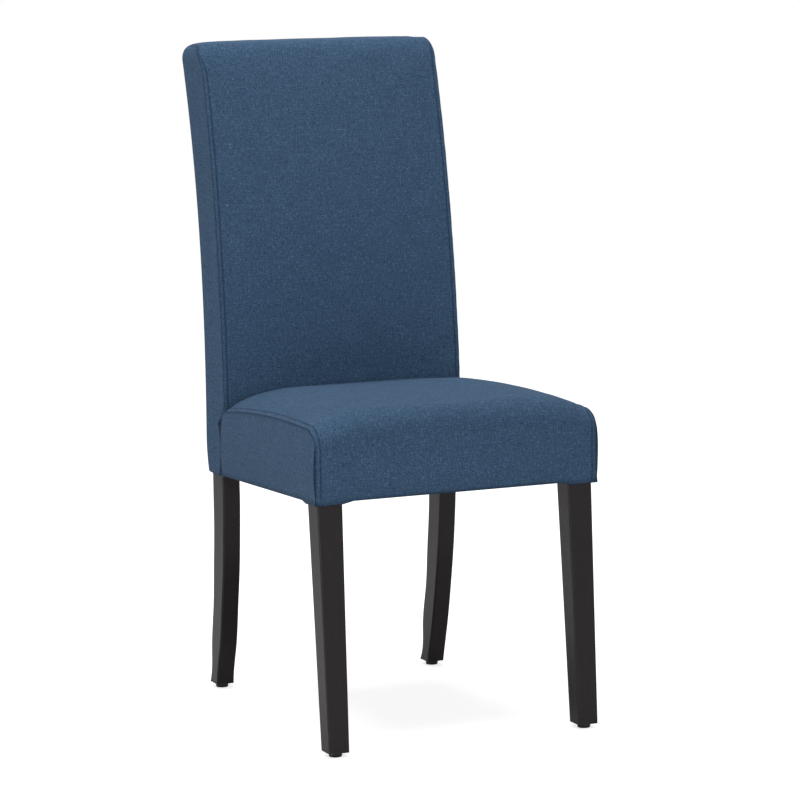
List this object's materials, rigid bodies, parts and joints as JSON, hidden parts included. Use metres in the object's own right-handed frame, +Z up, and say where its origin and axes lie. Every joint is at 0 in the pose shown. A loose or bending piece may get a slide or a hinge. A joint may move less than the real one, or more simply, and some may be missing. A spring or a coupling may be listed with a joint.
{
  "type": "upholstered dining chair",
  "caption": "High-backed dining chair with a padded seat and back in blue woven fabric, on black wooden legs with small levelling feet.",
  "frame": {"origin": "on the floor, under the middle of the chair's box", "axes": "+Z up, the chair faces -Y, +X to its left side as it is sat on"},
  "size_m": [0.4394, 0.5892, 0.9804],
  "materials": {
    "blue_fabric": "blue linen-look weave with darker and lighter slubs",
    "leg_wood": "black satin stain and lacquer on wood",
    "frame_wood": "bare planed wood",
    "hardboard": "brown pressed hardboard",
    "foam": "cut upholstery foam",
    "wadding": "white polyester wadding",
    "webbing": "woven elastic webbing",
    "black_lining": "thin black non-woven lining",
    "black_plastic": "moulded black plastic",
    "steel": "zinc-plated steel"
  },
  "bodies": {
    "chair": {"back_board": "hardboard", "back_cover_center": "blue_fabric", "back_cover_side_left": "blue_fabric", "back_cover_side_right": "blue_fabric", "back_foam": "foam", "back_frame_dowels": "frame_wood", "back_lower_rail": "frame_wood", "back_middle_rail": "frame_wood", "back_top_rail": "frame_wood", "back_webbing": "webbing", "corner_block_front_left": "frame_wood", "corner_block_front_right": "frame_wood", "corner_block_rear_left": "frame_wood", "corner_block_rear_right": "frame_wood", "corner_block_screws": "steel", "dust_cover": "black_lining", "dust_cover_staples": "steel", "front_leg_bolts": "steel", "front_leg_left": "leg_wood", "front_leg_nuts": "steel", "front_leg_right": "leg_wood", "front_leg_washers": "steel", "leg_insert_nuts": "steel", "rear_leg_left": "leg_wood", "rear_leg_right": "leg_wood", "seat_cover_center": "blue_fabric", "seat_cover_side_left": "blue_fabric", "seat_cover_side_right": "blue_fabric", "seat_foam": "foam", "seat_frame_dowels": "frame_wood", "seat_front_rail": "frame_wood", "seat_rear_rail": "frame_wood", "seat_side_rail_left": "frame_wood", "seat_side_rail_right": "frame_wood", "seat_wadding": "wadding", "seat_webbing_crosswise": "webbing", "seat_webbing_lengthwise": "webbing"},
    "pad_front_left": {"foot_pad_front_left": "black_plastic"},
    "stud_front_left": {"foot_stud_front_left": "steel"},
    "pad_front_right": {"foot_pad_front_right": "black_plastic"},
    "stud_front_right": {"foot_stud_front_right": "steel"},
    "pad_rear_left": {"foot_pad_rear_left": "black_plastic"},
    "stud_rear_left": {"foot_stud_rear_left": "steel"},
    "pad_rear_right": {"foot_pad_rear_right": "black_plastic"},
    "stud_rear_right": {"foot_stud_rear_right": "steel"}
  },
  "joints": [
    {"name": "front_left_pad_slide", "type": "slide", "parent": "chair", "child": "pad_front_left", "axis": [0, 0, -1], "range_m": [0, 0.006]},
    {"name": "front_left_stud_turn", "type": "hinge", "parent": "pad_front_left", "child": "stud_front_left", "pos_m": [-0.1947, -0.27915, 0.015], "axis": [0, 0, -1], "range_deg": [0, 2160]},
    {"name": "front_right_pad_slide", "type": "slide", "parent": "chair", "child": "pad_front_right", "axis": [0, 0, -1], "range_m": [0, 0.006]},
    {"name": "front_right_stud_turn", "type": "hinge", "parent": "pad_front_right", "child": "stud_front_right", "pos_m": [0.1947, -0.27915, 0.015], "axis": [0, 0, -1], "range_deg": [0, 2160]},
    {"name": "rear_left_pad_slide", "type": "slide", "parent": "chair", "child": "pad_rear_left", "axis": [0, 0, -1], "range_m": [0, 0.006]},
    {"name": "rear_left_stud_turn", "type": "hinge", "parent": "pad_rear_left", "child": "stud_rear_left", "pos_m": [-0.17605, 0.2122, 0.015], "axis": [0, 0, -1], "range_deg": [0, 2160]},
    {"name": "rear_right_pad_slide", "type": "slide", "parent": "chair", "child": "pad_rear_right", "axis": [0, 0, -1], "range_m": [0, 0.006]},
    {"name": "rear_right_stud_turn", "type": "hinge", "parent": "pad_rear_right", "child": "stud_rear_right", "pos_m": [0.17605, 0.2122, 0.015], "axis": [0, 0, -1], "range_deg": [0, 2160]}
  ],
  "couplings": [
    {"joint": "front_left_stud_turn", "follows": "front_left_pad_slide", "rad_per_m": 6283.2},
    {"joint": "front_right_stud_turn", "follows": "front_right_pad_slide", "rad_per_m": 6283.2},
    {"joint": "rear_left_stud_turn", "follows": "rear_left_pad_slide", "rad_per_m": 6283.2},
    {"joint": "rear_right_stud_turn", "follows": "rear_right_pad_slide", "rad_per_m": 6283.2}
  ]
}
